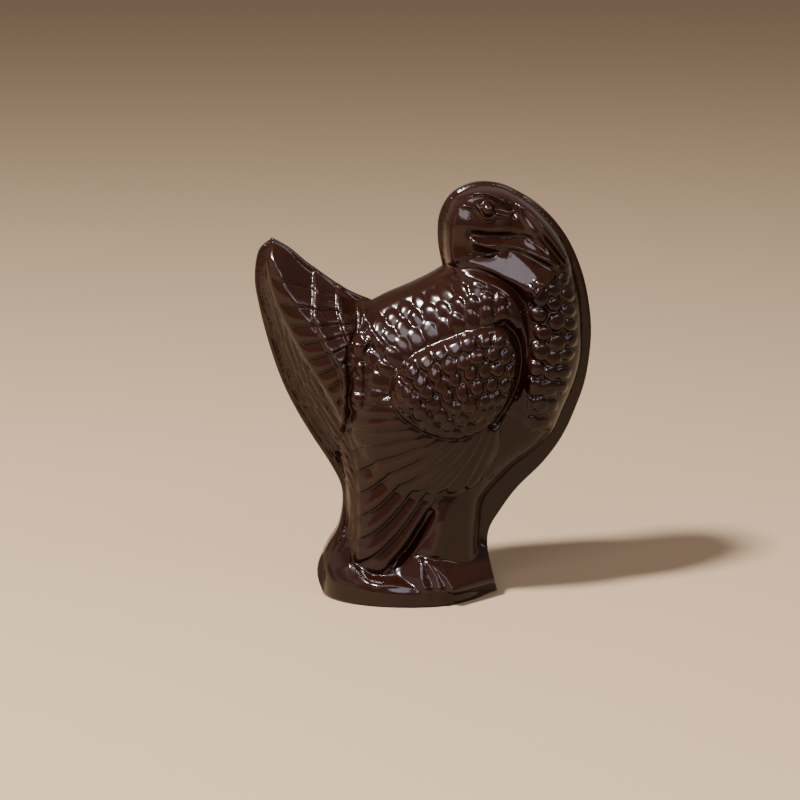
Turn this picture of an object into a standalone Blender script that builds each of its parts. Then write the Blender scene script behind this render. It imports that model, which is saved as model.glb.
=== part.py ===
"""A moulded chocolate turkey: two mirrored half reliefs that meet at a flat seam with a thin rim."""
import math

import bmesh
import bpy
import numpy as np
from mathutils.geometry import delaunay_2d_cdt

MM = 0.001

# Relief of one half of the turkey, in millimetres. X runs forward along the seam, Z up, and the
# relief height is measured out from the seam plane.

HEIGHT = 130.0
FLANGE = 1.0                 # half thickness of the flat rim round the outline
BASE_HALF_DEPTH = 19.5
TAIL_DEPTH = 15.5

TAIL_TIP = (-45.9, 113.3)
NOTCH = (-15.2, 93.6)
NAPE = (6.6, 103.8)
TOE_CORNER = (24.2, 0.0)
HEEL_CORNER = (-30.8, 0.0)

TAIL_TOP = [TAIL_TIP, (-40.5, 110.2), (-34.3, 105.0), (-23.5, 97.4), NOTCH]
BACK = [NOTCH, (-10.5, 95.9), (-3.0, 98.9), (3.0, 101.7), NAPE]
HEAD_AND_BREAST = [
    NAPE, (5.2, 112.0), (5.6, 119.8), (8.9, 126.0), (14.6, 129.3), (20.6, 130.0), (27.4, 128.2),
    (36.8, 122.4), (44.4, 113.8), (49.4, 103.4), (52.1, 92.6), (53.0, 81.5), (51.5, 68.4),
    (48.2, 58.3), (44.2, 49.6), (38.4, 41.6), (30.2, 33.4), (24.9, 26.2), (21.5, 20.2),
    (21.0, 14.0), (22.3, 6.5), TOE_CORNER,
]
UNDERSIDE = [TOE_CORNER, HEEL_CORNER]
REAR = [
    HEEL_CORNER, (-32.6, 6.0), (-32.0, 10.8), (-29.5, 15.8), (-26.0, 21.6), (-24.6, 29.3),
    (-25.2, 35.6), (-28.6, 42.6), (-34.2, 51.5), (-39.2, 60.2), (-43.3, 69.0), (-47.0, 80.0),
    (-50.2, 93.0), (-51.3, 101.2), (-50.0, 109.4), TAIL_TIP,
]


def smooth_line(points, step):
    """A smooth line through the points, with a vertex about every step."""
    p = [np.array(q, float) for q in points]
    p = [2 * p[0] - p[1]] + p + [2 * p[-1] - p[-2]]
    line = []
    for a, b, c, d in zip(p, p[1:], p[2:], p[3:]):
        count = max(1, round(math.dist(b, c) / step))
        for i in range(count):
            t = i / count
            line.append(0.5 * (2 * b + (c - a) * t + (2 * a - 5 * b + 4 * c - d) * t ** 2
                               + (3 * b - a - 3 * c + d) * t ** 3))
    line.append(p[-2])
    return np.array(line)


def smooth_loop(points, step):
    """A smooth closed loop through the points, its last vertex next to the first."""
    n = len(points)
    wrapped = [points[(i - 1) % n] for i in range(n + 3)]
    p = [np.array(q, float) for q in wrapped]
    loop = []
    for a, b, c, d in zip(p, p[1:], p[2:], p[3:]):
        count = max(1, round(math.dist(b, c) / step))
        for i in range(count):
            t = i / count
            loop.append(0.5 * (2 * b + (c - a) * t + (2 * a - 5 * b + 4 * c - d) * t ** 2
                               + (3 * b - a - 3 * c + d) * t ** 3))
    return np.array(loop)


def outline(step):
    """The side outline as one closed loop of vertices."""
    parts = [TAIL_TOP, BACK, HEAD_AND_BREAST, UNDERSIDE, REAR]
    return np.concatenate([smooth_line(part, step)[:-1] for part in parts])


def from_line(x, z, line):
    """Distance to a line, the side (positive to its left) and the length along it, for each point."""
    best = np.full(x.shape, 1e9)
    side = np.ones(x.shape)
    along = np.zeros(x.shape)
    start = 0.0
    for (ax, az), (bx, bz) in zip(line[:-1], line[1:]):
        ux, uz = bx - ax, bz - az
        length = math.hypot(ux, uz)
        if length == 0.0:
            continue
        t = np.clip(((x - ax) * ux + (z - az) * uz) / length ** 2, 0, 1)
        d = np.hypot(x - ax - t * ux, z - az - t * uz)
        near = d < best
        best = np.where(near, d, best)
        cross = ux * (z - az) - uz * (x - ax)
        side = np.where(near, np.where(cross >= 0, 1.0, -1.0), side)
        along = np.where(near, start + t * length, along)
        start += length
    return best, side, along


def inside(x, z, loop):
    """How far inside a closed loop each point lies, negative outside."""
    best = np.full(x.shape, 1e9)
    within = np.zeros(x.shape, bool)
    for (ax, az), (bx, bz) in zip(loop, np.roll(loop, -1, axis=0)):
        ux, uz = bx - ax, bz - az
        square = ux ** 2 + uz ** 2
        if square == 0.0:
            continue
        t = np.clip(((x - ax) * ux + (z - az) * uz) / square, 0, 1)
        best = np.minimum(best, np.hypot(x - ax - t * ux, z - az - t * uz))
        if az != bz:
            crosses = (az > z) != (bz > z)
            within ^= crosses & (x < ax + (z - az) * ux / uz)
    return np.where(within, best, -best)


def step_up(d, width):
    """A soft step from 0 to 1 across the given width."""
    t = np.clip(d / width + 0.5, 0, 1)
    return t * t * (3 - 2 * t)


def crest(d, width):
    """A rounded crest, 1 at d = 0, that fades within about twice the width."""
    return np.exp(-(d / width) ** 2)


def pillow(d, width, power=2.0):
    """A domed edge: 0 at the border, 1 at the given width inside it."""
    t = np.clip(d / width, 0, 1)
    return (1 - (1 - t) ** power) ** (1 / power)


def blend_max(a, b, k):
    """The larger of two heights, with the crease between them rounded over k."""
    h = np.clip(0.5 + 0.5 * (a - b) / k, 0, 1)
    return b + (a - b) * h + k * h * (1 - h)



# Lines of the relief in the side plane, each as (x, z) in millimetres.
MASS = [
    (-19.5, 93.0), (-15.2, 92.6), (-10.5, 94.8), (-3.0, 97.9), (3.0, 100.7), (7.6, 103.6), (6.9, 107.0),
    (6.4, 112.0), (6.8, 119.5), (9.8, 125.4), (15.0, 128.5), (20.6, 129.1), (26.9, 127.4),
    (35.6, 121.4), (42.6, 113.0), (46.8, 103.0), (49.2, 93.0), (50.0, 82.0), (49.8, 75.0), (48.1, 67.7),
    (44.6, 58.9), (41.0, 51.3), (34.6, 44.9), (28.5, 40.0), (24.0, 35.4), (19.8, 30.0), (18.6, 23.0),
    (18.3, 14.0), (19.0, 6.0), (14.0, -12.0), (-12.0, -12.0), (-19.0, 4.0), (-23.4, 14.0),
    (-23.6, 24.0), (-23.8, 34.0), (-25.6, 44.0), (-28.0, 54.0), (-27.4, 64.0), (-26.0, 74.0),
    (-24.6, 82.0), (-22.0, 88.0),
]
BODY = [
    (-20.0, 84.0), (-17.0, 90.0), (-10.0, 94.5), (-2.0, 98.0), (5.0, 101.6), (12.0, 103.6),
    (18.0, 102.8), (23.2, 100.5), (27.2, 97.0), (29.8, 92.0), (31.6, 85.0), (31.2, 76.0), (30.0, 70.0),
    (27.6, 63.0), (24.0, 55.0), (22.0, 46.0), (14.0, 36.0), (0.0, 33.0), (-12.0, 38.0), (-20.0, 48.0),
    (-23.5, 60.0), (-23.0, 72.0),
]

TAIL_RIM = [
    (-46.2, 112.8), (-47.8, 108.0), (-47.4, 102.0), (-46.0, 96.5), (-44.0, 91.5), (-41.2, 86.0),
    (-37.8, 79.5), (-34.2, 73.5), (-30.4, 67.5), (-27.4, 62.0), (-24.6, 55.0), (-21.9, 47.0),
    (-20.8, 38.0), (-20.6, 28.0), (-20.8, 18.0), (-23.0, 10.0),
]
ROW_TWO = [
    (-33.2, 106.0), (-33.6, 101.0), (-34.0, 95.2), (-34.4, 91.4), (-33.6, 88.5), (-32.0, 84.4),
    (-30.0, 80.0), (-27.4, 76.2), (-25.7, 71.0), (-25.4, 64.0),
]
ROW_THREE = [
    (-25.6, 101.5), (-26.5, 96.4), (-26.7, 92.7), (-26.0, 89.3), (-24.9, 85.4), (-23.4, 81.4),
    (-23.0, 77.0),
]
TAIL_ROOT = [
    (-16.5, 95.0), (-18.2, 91.0), (-19.6, 86.8), (-21.5, 84.3), (-23.2, 80.6), (-23.7, 76.5),
    (-23.4, 72.0), (-23.8, 66.0), (-24.6, 60.0),
]
FAN_POLE = (-5.0, 88.0)
FEATHER_ANGLE = 9.6

SHOULDER = [
    (-14.0, 93.6), (-8.0, 96.2), (-2.0, 98.7), (3.0, 100.8), (8.0, 102.5), (12.5, 102.9), (16.0, 102.2),
    (20.0, 100.8), (23.2, 99.2), (26.0, 96.7), (28.0, 93.3), (29.8, 88.4), (31.4, 82.4), (31.9, 77.0),
    (30.8, 71.0), (28.8, 65.0), (26.4, 59.5),
]
NECK_VALLEY = [
    (5.2, 104.4), (9.0, 105.0), (12.5, 104.9), (16.5, 104.2), (20.5, 102.9), (24.0, 101.0),
    (27.0, 98.7), (29.6, 95.6), (31.4, 92.0), (32.6, 87.0),
]
WING_RIDGE = [
    (-11.0, 71.4), (-9.0, 75.0), (-4.0, 79.4), (1.5, 82.4), (7.5, 85.0), (13.5, 87.1), (19.0, 88.1),
    (23.6, 87.4),
]
WING_FRONT = [(23.6, 87.4), (26.9, 83.3), (28.2, 77.8), (27.6, 70.8), (25.1, 64.3), (21.1, 58.3)]
WING_FOOT = [
    (21.1, 58.3), (15.6, 54.4), (8.6, 53.0), (1.6, 54.4), (-3.9, 57.4), (-8.4, 61.3), (-11.0, 66.3),
    (-11.0, 71.4),
]
FLANK_TOP = [(-26.0, 61.6), (-20.0, 63.6), (-14.0, 65.8), (-10.8, 67.0)]
SECONDARY_POLE = (23.0, 73.5)
SECONDARY_EDGE = [
    (-25.5, 61.0), (-22.9, 55.3), (-18.8, 50.1), (-15.0, 44.9), (-10.2, 40.5), (-4.8, 37.5),
    (0.3, 36.1), (5.8, 35.9), (10.8, 36.5), (15.8, 37.3), (24.0, 42.0),
]

# Rows of scales on the body: distance from the wing, half length and rise.
BODY_ROWS = [(3.2, 3.8, 1.8), (7.6, 3.6, 2.2), (11.4, 3.2, 2.0), (15.0, 3.0, 1.7), (18.6, 3.0, 1.5),
             (22.2, 3.0, 1.4), (25.8, 3.0, 1.3)]
WING_ROWS = [1.9, 2.1, 2.1, 2.0, 1.8, 1.6, 1.4, 1.2]
BODY_RISE = 11.6
BODY_DOME = 4.2
WING_STEP = 1.4
WING_DOME = 1.7

EYE = (19.3, 123.3)
EYE_RISE = 2.4
EYE_RADIUS = 2.1
SOCKET = [
    (10.2, 125.3), (13.8, 127.0), (18.2, 127.5), (21.4, 126.6), (24.2, 124.8), (26.6, 124.4),
    (27.3, 122.6), (25.6, 121.6), (23.6, 122.0), (22.0, 122.5), (21.3, 121.4), (19.4, 120.7),
    (17.4, 121.1), (16.1, 122.5), (15.2, 123.9), (12.4, 124.4),
]
UPPER_LID = [
    (9.8, 125.2), (11.6, 126.6), (13.8, 127.5), (18.2, 128.0), (20.6, 127.4), (22.9, 126.2),
    (24.6, 124.4),
]
LOWER_LID = [
    (10.6, 124.9), (13.0, 124.3), (15.5, 123.9), (16.4, 122.1), (18.2, 120.7), (20.0, 120.6),
    (21.8, 122.0), (24.2, 121.5), (26.2, 121.1),
]
CHEEK = [
    (10.4, 124.0), (13.2, 123.2), (15.2, 122.3), (16.2, 120.8), (18.0, 119.6), (20.2, 119.4),
    (21.8, 120.4), (24.4, 120.2),
]
CHEEK_ROLL = [(8.5, 118.5), (13.0, 118.6), (20.0, 118.2), (26.5, 117.8)]
BROW_END = [(27.6, 127.0), (28.0, 124.6), (27.8, 122.2), (26.8, 120.6)]
MOUTH = [(12.6, 116.3), (15.2, 115.5), (19.0, 114.9), (24.0, 114.7), (28.3, 114.4), (33.0, 113.4)]
LIP = [
    (14.0, 114.5), (16.4, 113.2), (19.4, 112.5), (23.2, 112.2), (27.7, 111.6), (30.6, 110.6),
    (34.5, 109.1), (37.4, 107.6), (41.3, 105.6),
]
JOWL = [(14.2, 114.2), (15.8, 113.0), (19.4, 111.6), (22.3, 110.7), (25.5, 110.0)]
CREASE = [(13.0, 110.6), (16.0, 109.6), (19.5, 109.5), (23.0, 110.0)]
NECK = [
    (9.0, 106.6), (13.5, 108.4), (18.0, 108.8), (23.0, 110.2), (28.5, 110.3), (34.0, 108.0),
    (38.6, 105.0), (39.6, 102.4), (36.6, 100.2), (33.6, 97.6), (31.4, 95.2), (28.4, 97.9),
    (24.6, 101.4), (20.6, 103.6), (14.0, 105.4),
]
NECK_TURN = [(25.5, 110.6), (28.9, 108.4), (32.4, 105.2), (36.2, 100.0)]
SNOOD = [
    (28.4, 125.8), (31.4, 123.0), (35.0, 119.2), (37.4, 115.7), (40.4, 111.8), (43.4, 107.6),
    (46.0, 103.0),
]
SNOOD_SIDE = [(34.6, 115.4), (37.2, 112.2), (40.4, 108.4), (43.4, 104.8)]
TOES = [[(-1.0, 13.2), (-1.3, 9.0), (0.0, 5.6)], [(0.8, 13.4), (3.4, 9.6), (4.3, 5.4)],
        [(2.2, 12.8), (6.4, 9.2), (8.4, 5.6)]]
LEDGE = [(-22.3, 11.8), (-19.5, 9.8), (-16.0, 7.6), (-12.5, 7.4), (-8.0, 8.6), (-3.6, 10.3)]
LEDGE_FOOT = [(-21.4, 8.8), (-16.0, 6.9), (-11.0, 7.2), (-3.2, 6.2)]
BEAK_EDGE = [(28.4, 125.8), (29.2, 122.4), (30.8, 119.4), (33.6, 115.5)]
BREAST_BUMPS = [
    (31.9, 99.4, 1.4), (34.3, 100.7, 1.6), (37.6, 100.9, 1.4), (39.6, 98.3, 2.3), (34.9, 96.0, 2.9),
    (44.2, 96.6, 2.2), (42.8, 101.2, 1.8), (40.0, 93.6, 2.6), (34.5, 90.9, 2.9), (44.8, 91.8, 2.2),
    (40.7, 88.5, 2.9), (35.8, 85.8, 2.9), (45.0, 87.2, 2.2), (40.4, 82.6, 3.0), (45.4, 82.4, 2.3),
    (35.0, 79.6, 3.0), (39.6, 77.3, 2.6), (43.8, 78.0, 2.4), (34.0, 74.2, 2.3), (38.6, 72.4, 2.6),
    (42.8, 72.8, 2.4), (33.4, 68.4, 3.0), (38.3, 67.6, 2.8), (42.2, 66.9, 2.2), (31.0, 62.8, 2.6),
    (35.8, 62.6, 2.8), (39.8, 61.8, 2.2), (28.6, 57.6, 2.4), (33.0, 57.0, 2.6), (37.0, 56.4, 2.2),
]


def base_half_depth(x):
    """Half depth of the base at the floor for each x: a pointed oval, round at the back."""
    t = np.clip((x - HEEL_CORNER[0]) / (TOE_CORNER[0] - HEEL_CORNER[0]), 0, 1)
    back = np.sqrt(1 - (1 - np.minimum(t / 0.52, 1)) ** 2)
    front = 1 - np.clip((t - 0.52) / 0.48, 0, 1) ** 2.4
    return BASE_HALF_DEPTH * back * front


def flare(z, reach):
    """1 at the floor, easing to 0 over the reach."""
    return 0.5 + 0.5 * np.cos(math.pi * np.clip((z - 3) / reach, 0, 1))


def base_relief(x, z):
    """The base: a rounded ledge below the feathers that flares smoothly into the figure at both ends."""
    heel, toe = np.clip((-17 - x) / 6, 0, 1), np.clip((x - 8) / 6, 0, 1)
    top = np.interp(x, [-22, -16.5, -3, 4, 12], [11.6, 10.2, 10, 11.5, 13])
    rear = 0.75 * flare(z, 33) + 0.25 * step_up(8.5 - z, 6)
    shape = (1 - heel - toe) * pillow(top - z, 6.0, 2.0) + heel * rear + toe * flare(z, 17)
    edge_round = 0.7 * np.clip(1 - z / 0.9, 0, 1) ** 2
    return (base_half_depth(x) - edge_round) * shape


def ahead_of(x, z, line):
    """Signed distance from a line, positive on its left as it runs."""
    d, side, _ = from_line(x, z, smooth_line(line, 1.5))
    return d * side


def stroke(x, z, points, width, amount, taper=(1.0, 1.0)):
    """A soft ridge (or, where the amount is negative, a groove) along a line, tapered at its ends."""
    line = smooth_line(points, 1.0)
    low, high = line.min(axis=0) - 3 * width, line.max(axis=0) + 3 * width
    near = (x > low[0]) & (x < high[0]) & (z > low[1]) & (z < high[1])
    d, _, along = from_line(x[near], z[near], line)
    total = np.hypot(*np.diff(line, axis=0).T).sum()
    fade = np.clip(along / taper[0], 0, 1) * np.clip((total - along) / taper[1], 0, 1)
    out = np.zeros(x.shape)
    out[near] = amount * crest(d, width) * np.sqrt(fade)
    return out


def shelf(x, z, points, above, below, amount, taper=(1.0, 1.0)):
    """An uneven ridge: one width on the left of the line, another on its right, tapered at its ends."""
    line = smooth_line(points, 1.0)
    reach = 3 * max(above, below)
    low, high = line.min(axis=0) - reach, line.max(axis=0) + reach
    near = (x > low[0]) & (x < high[0]) & (z > low[1]) & (z < high[1])
    d, side, along = from_line(x[near], z[near], line)
    total = np.hypot(*np.diff(line, axis=0).T).sum()
    fade = np.clip(along / taper[0], 0, 1) * np.clip((total - along) / taper[1], 0, 1)
    out = np.zeros(x.shape)
    out[near] = amount * np.where(side > 0, crest(d, above), crest(d, below)) * np.sqrt(fade)
    return out


def patch(x, z, loop, soft):
    """1 inside a closed loop and 0 outside, with a soft border."""
    loop = smooth_loop(loop, 1.0)
    low, high = loop.min(axis=0) - soft, loop.max(axis=0) + soft
    near = (x > low[0]) & (x < high[0]) & (z > low[1]) & (z < high[1])
    out = np.zeros(x.shape)
    out[near] = step_up(inside(x[near], z[near], loop), soft)
    return out


def vane(t, edge=5.0):
    """Height across one feather, t from 0 at the edge under its neighbour to 1 at its free edge."""
    return np.sin(0.5 * math.pi * np.clip(1.3 * t, 0, 1)) * np.clip(edge * (1 - t), 0, 1)


def strands(x, z, rear, down):
    """Fine, slightly crossing strands that run down the tail's rear face."""
    bend = 0.35 * np.sin(0.17 * down) + 0.15 * np.sin(0.41 * down + 1.0)
    one = np.abs(np.sin(math.pi * (rear / 1.5 + bend)))
    two = np.abs(np.sin(math.pi * (rear / 2.1 - 0.03 * down - bend)))
    return 1.2 * (np.sqrt(one) * (0.45 + 0.55 * two) - 0.5)


def tail_relief(x, z, rim):
    """The fan: a strand-covered rear face that rises to the rim, then three stepped rows of feathers."""
    fan = FLANGE + (TAIL_DEPTH - FLANGE) * pillow(rim - 0.8, 21, 1.5)
    front, side, down = from_line(x, z, smooth_line(TAIL_RIM, 1.5))
    rear, _, _ = from_line(x, z, smooth_line(REAR, 1.5))
    ahead = front * side
    across = rear / np.maximum(rear + front, 1e-6)
    face = fan - 1.2 + 1.9 * step_up(ahead + 0.1, 1.8) - 2.6 * np.clip((ahead - 0.6) / 11, 0, 1)
    for line, rise, drop, width in ((ROW_TWO, 2.6, 2.0, 8.0), (ROW_THREE, 2.4, 3.0, 6.0)):
        past = ahead_of(x, z, line)
        face += rise * pillow(past, 1.7) - drop * np.clip((past - 0.6) / width, 0, 1)
    angle = np.degrees(np.arctan2(z - FAN_POLE[1], FAN_POLE[0] - x))
    t = np.mod(angle / FEATHER_ANGLE, 1)
    depth = np.clip(ahead - 0.9, 0, 1) * np.clip(rim / 8, 0.2, 1) * np.clip(1.2 - ahead / 25, 0.4, 1)
    face += (0.9 * vane(1 - t, 9) - 0.7) * depth
    back = (fan - 1.2) * pillow(across, 1.0, 1.6) + 1.9 * step_up(ahead + 0.1, 1.8)
    cover = np.clip(-ahead / 1.2, 0, 1) * np.clip(rear / 1.5, 0, 1) * np.clip((z - 14) / 8, 0, 1)
    return np.where(ahead < 0, back, face), ahead, strands(x, z, rear, down) * cover


def scales(x, z, places, tilt):
    """Overlapping plates (x, z, half width, half length, turn, rise): at each point the highest."""
    h = np.zeros(x.shape)
    for cx, cz, a, b, turn, rise in places:
        near = (np.abs(x - cx) < a + b) & (np.abs(z - cz) < a + b)
        dx, dz = x[near] - cx, z[near] - cz
        u = (dx * math.cos(turn) + dz * math.sin(turn)) / a
        v = (-dx * math.sin(turn) + dz * math.cos(turn)) / b
        plate = rise * (1 - abs(tilt) + tilt * v) * np.sqrt(np.clip(1 - (u * u + v * v) ** 1.6, 0, 1))
        h[near] = np.maximum(h[near], plate)
    return h


def uneven(places, seed, shift, spread):
    """The same scales, each a little moved and resized."""
    draw = np.random.default_rng(seed)
    out = []
    for cx, cz, a, b, turn, rise in places:
        size = 1 + spread * draw.uniform(-1, 1)
        x, z = cx + shift * draw.uniform(-1, 1), cz + shift * draw.uniform(-1, 1)
        length, lift = 1 + spread * draw.uniform(-1, 1), 1 + spread * draw.uniform(-1, 1)
        out.append((x, z, a * size, b * length, turn, rise * lift))
    return out


def beside(line, offset, pitch, start):
    """Points a pitch apart on a curve offset to the left of a line: (x, z, direction)."""
    t = np.gradient(line, axis=0)
    t /= np.hypot(t[:, 0], t[:, 1])[:, None]
    curve = line + offset * np.stack([-t[:, 1], t[:, 0]], 1)
    s = np.concatenate([[0], np.cumsum(np.hypot(*np.diff(curve, axis=0).T))])
    at = np.arange(start, s[-1], pitch)
    turn = np.interp(at, s, np.unwrap(np.arctan2(t[:, 1], t[:, 0])))
    return zip(np.interp(at, s, curve[:, 0]), np.interp(at, s, curve[:, 1]), turn)


def body_scales(x, z):
    """Rows of scales round the wing, out to the shoulder and the back."""
    guide = smooth_line([(-13.5, 57.0), (-12.4, 64.0)] + WING_RIDGE + [(27.5, 84.5)], 1.0)
    places = []
    for row, (offset, b, rise) in enumerate(BODY_ROWS):
        for cx, cz, turn in beside(guide, offset, 4.4, 1.0 + 2.2 * (row % 2)):
            places.append((cx, cz, 2.6, b, turn, rise))
    return scales(x, z, uneven(places, 3, 0.5, 0.16), 0.4)


def wing_scales(x, z):
    """Rows of scales that follow the wing's upper ridge."""
    ridge_x, ridge_z = np.array([(-16.0, 64.0), (-11.0, 71.0)] + WING_RIDGE[1:] + [(32.0, 86.0)]).T
    places = []
    for row, rise in enumerate(WING_ROWS):
        for cx in np.arange(-13.5 + 2.2 * (row % 2), 32, 4.4):
            cz = np.interp(cx, ridge_x, ridge_z) - 3.2 - 4.6 * row
            slope = np.interp(cx + 1, ridge_x, ridge_z) - np.interp(cx - 1, ridge_x, ridge_z)
            places.append((cx, cz, 2.2, 2.7, 0.3 * slope - 0.2, rise))
    return scales(x, z, uneven(places, 5, 0.45, 0.16), -0.3)


def breast_bumps(x, z):
    """Uneven bumps down the breast, lower and flatter towards the belly."""
    places = []
    for cx, cz, size in BREAST_BUMPS:
        places.append((cx, cz, 1.12 * size, size, -0.3, 0.75 * size * np.clip((cz - 46) / 28, 0.3, 1)))
    return scales(x, z, uneven(places, 9, 0.5, 0.15), -0.12)


def head_relief(x, z):
    """Eye in its socket, cheek, mouth, lip, jowl, crease, snood and beak edge."""
    h = -1.1 * patch(x, z, SOCKET, 0.45)
    h += shelf(x, z, UPPER_LID, 2.2, 0.35, 1.0, (2, 2))
    h += stroke(x, z, LOWER_LID, 0.55, 0.8, (2, 2))
    h += shelf(x, z, CHEEK, 0.6, 2.2, -0.45, (2, 3))
    h += stroke(x, z, CHEEK_ROLL, 3.6, 0.8, (5, 3))
    e = np.hypot(x - EYE[0], z - EYE[1])
    h += EYE_RISE * np.sqrt(np.clip(1 - (e / EYE_RADIUS) ** 2, 0, 1))
    h += stroke(x, z, BROW_END, 0.9, -1.1, (1, 1))
    h += shelf(x, z, MOUTH, 1.4, 1.2, -1.3, (4, 8))
    h += shelf(x, z, LIP, 0.9, 1.3, 1.2, (3, 2))
    h += shelf(x, z, JOWL, 0.8, 1.4, 0.8, (2, 3))
    h += shelf(x, z, CREASE, 1.3, 1.3, -1.1, (4, 4))
    h += shelf(x, z, SNOOD, 1.6, 1.0, 1.3, (1, 6))
    h += stroke(x, z, SNOOD_SIDE, 1.0, -1.2, (3, 3))
    h += stroke(x, z, BEAK_EDGE, 0.7, 0.7, (2, 2))
    for k in range(3):
        start, end = (29.5 + k, 115.4 - k), (37.0 + 0.3 * k, 110.6 - 0.8 * k)
        h += stroke(x, z, [start, (33.5 + 0.6 * k, 113.6 - k), end], 0.5, -0.5, (3, 3))
    return h


def neck_roll(x, z):
    """The neck: a broad facet that widens out towards the breast and turns away above and below."""
    facet = 14.4 + 0.15 * (x - 24) - 0.46 * (z - 106)
    facet = -blend_max(-facet, -18.6, 1.5)
    facet -= 0.75 * np.clip(ahead_of(x, z, NECK_TURN), 0, 20)
    valley = np.clip(ahead_of(x, z, NECK_VALLEY), 0, 30)
    under = np.interp(x, [10, 24], [8.8, 13.8]) + 1.7 * valley - 0.05 * valley ** 2
    return -blend_max(-facet, -under, 1.6)


def flight_feathers(x, z, wing, ahead):
    """Short feathers fanned below the wing, over long ones that slant down to the base."""
    dx, dz = SECONDARY_POLE[0] - x, SECONDARY_POLE[1] - z
    angle = np.degrees(np.arctan2(dz, dx)) + 0.45 * (np.hypot(dx, dz) - 30)
    t = np.mod((angle - 37.0) / 6.8, 1)
    over = step_up(ahead_of(x, z, SECONDARY_EDGE) + 1.5 * np.sin(math.pi * t) - 0.5, 1.2)
    fade = np.clip((24 - x) / 10, 0, 1)
    short = over * (0.7 + 0.65 * vane(t, 6)) * fade
    level = z - 0.5 * (x + 20) - 0.03 * (x + 20) ** 2
    t = np.mod((level - 12.2) / 7.4, 1)
    long = (1 - over) * 1.1 * vane(1 - t, 7) * step_up(level - 3, 2.0) * step_up(z - 9, 4) * fade
    below = step_up(-ahead_of(x, z, FLANK_TOP), 1.0) * step_up(-wing - 0.2, 0.8) * (z < 68)
    return (short + long) * below * step_up(ahead - 0.4, 1.4)


def leg(x, z):
    """The leg and the deep valley between it and the long feathers."""
    h = stroke(x, z, [(-10.5, 10.9), (-5.9, 15.5), (-0.5, 24.1), (2.5, 30.0)], 1.5, -3.4, (4, 8))
    h += stroke(x, z, [(6.5, 34.0), (5.0, 24.0), (2.0, 13.0)], 3.0, 2.2, (8, 3))
    return h


def foot(x, z):
    """The foot: it slopes out from the leg to three toes, each a sharp ridge."""
    spread = np.full(x.shape, 99.0)
    for line in TOES:
        d, _, _ = from_line(x, z, np.array(line))
        spread = np.minimum(spread, d)
    return 20.6 - 0.72 * np.clip(z - 6.5, 0, 20) - 1.0 * np.clip(5 - z, 0, 9) - 0.85 * spread


def height(x, z):
    """Relief height of every point."""
    rim = inside(x, z, outline(1.2))
    flange = FLANGE * (0.5 + 0.5 * np.sqrt(np.clip(rim / 0.9, 0, 1)))
    tail, ahead, fine = tail_relief(x, z, rim)
    root = ahead_of(x, z, TAIL_ROOT)
    tail -= 1.5 * np.clip(root + 1.0, 0, 4) * np.clip((z - 56) / 8, 0, 1)
    h = np.where(root > 3, flange, np.maximum(flange, tail))
    low = np.clip((60 - z) / 50, 0, 1)
    head = np.clip((z - 101) / 7, 0, 1)
    edge = inside(x, z, smooth_loop(MASS, 1.5))
    back = step_up(5 - x, 20) * np.clip((z - 76) / 12, 0, 1)
    depth = BODY_RISE + 1.8 * step_up(x - 33, 6) - 0.3 * head
    side = (1 - back) * pillow(edge, 13 - 2 * low, 2.0) + 1.55 * back * pillow(edge + 0.8, 26, 1.6)
    at_root = step_up(z - 60, 8) * step_up(87 - z, 10) * np.clip((15 - root) / 11, 0, 1)
    side = np.maximum(side, at_root * pillow(root + 1, 3.0))
    plateau = 0.76 * pillow(edge, 2.8, 2.2) + 0.24 * pillow(edge, 11, 2.0)
    mass = flange + depth * ((1 - head) * side + head * plateau)
    in_body = inside(x, z, smooth_loop(BODY, 1.5))
    tilt = np.clip(0.14 * (x - 2) + 0.14 * (96 - z), 0, 3) * np.clip((z - 44) / 20, 0, 1)
    dome = BODY_DOME * (1 - 0.2 * low) * pillow(in_body, 17, 1.35) + tilt * pillow(in_body, 8)
    body = mass + (1 - back) * dome
    body += stroke(x, z, TAIL_ROOT, 0.9, 1.6, (4, 8))
    body += stroke(x, z, NECK_VALLEY, 0.7, -0.9, (1, 10))
    body += shelf(x, z, SHOULDER, 5.0, 1.3, 1.9, (28, 6))
    neck = patch(x, z, NECK, 1.6)
    body += neck * (neck_roll(x, z) - body)
    wing = inside(x, z, smooth_loop(WING_RIDGE[:-1] + WING_FRONT[:-1] + WING_FOOT[:-1], 1.5))
    above_flank = np.where(x < -10.6, step_up(ahead_of(x, z, FLANK_TOP) - 0.3, 1.2), z > 66)
    inner_side = step_up(-ahead_of(x, z, SHOULDER) - 1.2, 1.6)
    scaly = step_up(-wing - 0.4, 0.8) * above_flank * inner_side * step_up(root - 0.5, 1.5)
    body += body_scales(x, z) * scaly
    body += WING_STEP * step_up(wing - 0.2, 1.6) + WING_DOME * pillow(wing, 13)
    body += wing_scales(x, z) * step_up(wing - 0.9, 1.2)
    front_d, _, _ = from_line(x, z, smooth_line(WING_FRONT, 1.5))
    body -= 2.4 * crest(front_d - 1.4, 1.3) * (wing < 0)
    body += flight_feathers(x, z, wing, ahead)
    body += leg(x, z)
    body += breast_bumps(x, z) * step_up(x - 31.5, 2.0) * step_up(104 - z, 3)
    body += head_relief(x, z)
    h = blend_max(h, body, 0.8)
    h = blend_max(h, base_relief(x, z), np.interp(x, [-26, -17, 6, 16], [4, 1.4, 1.4, 4]))
    fold = shelf(x, z, LEDGE, 0.9, 1.6, 1.0, (3, 1)) + stroke(x, z, LEDGE_FOOT, 0.6, 0.6, (3, 1))
    return np.maximum(h + fold + fine, foot(x, z))


SPACING = 0.9                # between the points that the relief is worked out at
TRIANGLES = 11600
DARK_CHOCOLATE = (0.020, 0.010, 0.007)


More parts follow.
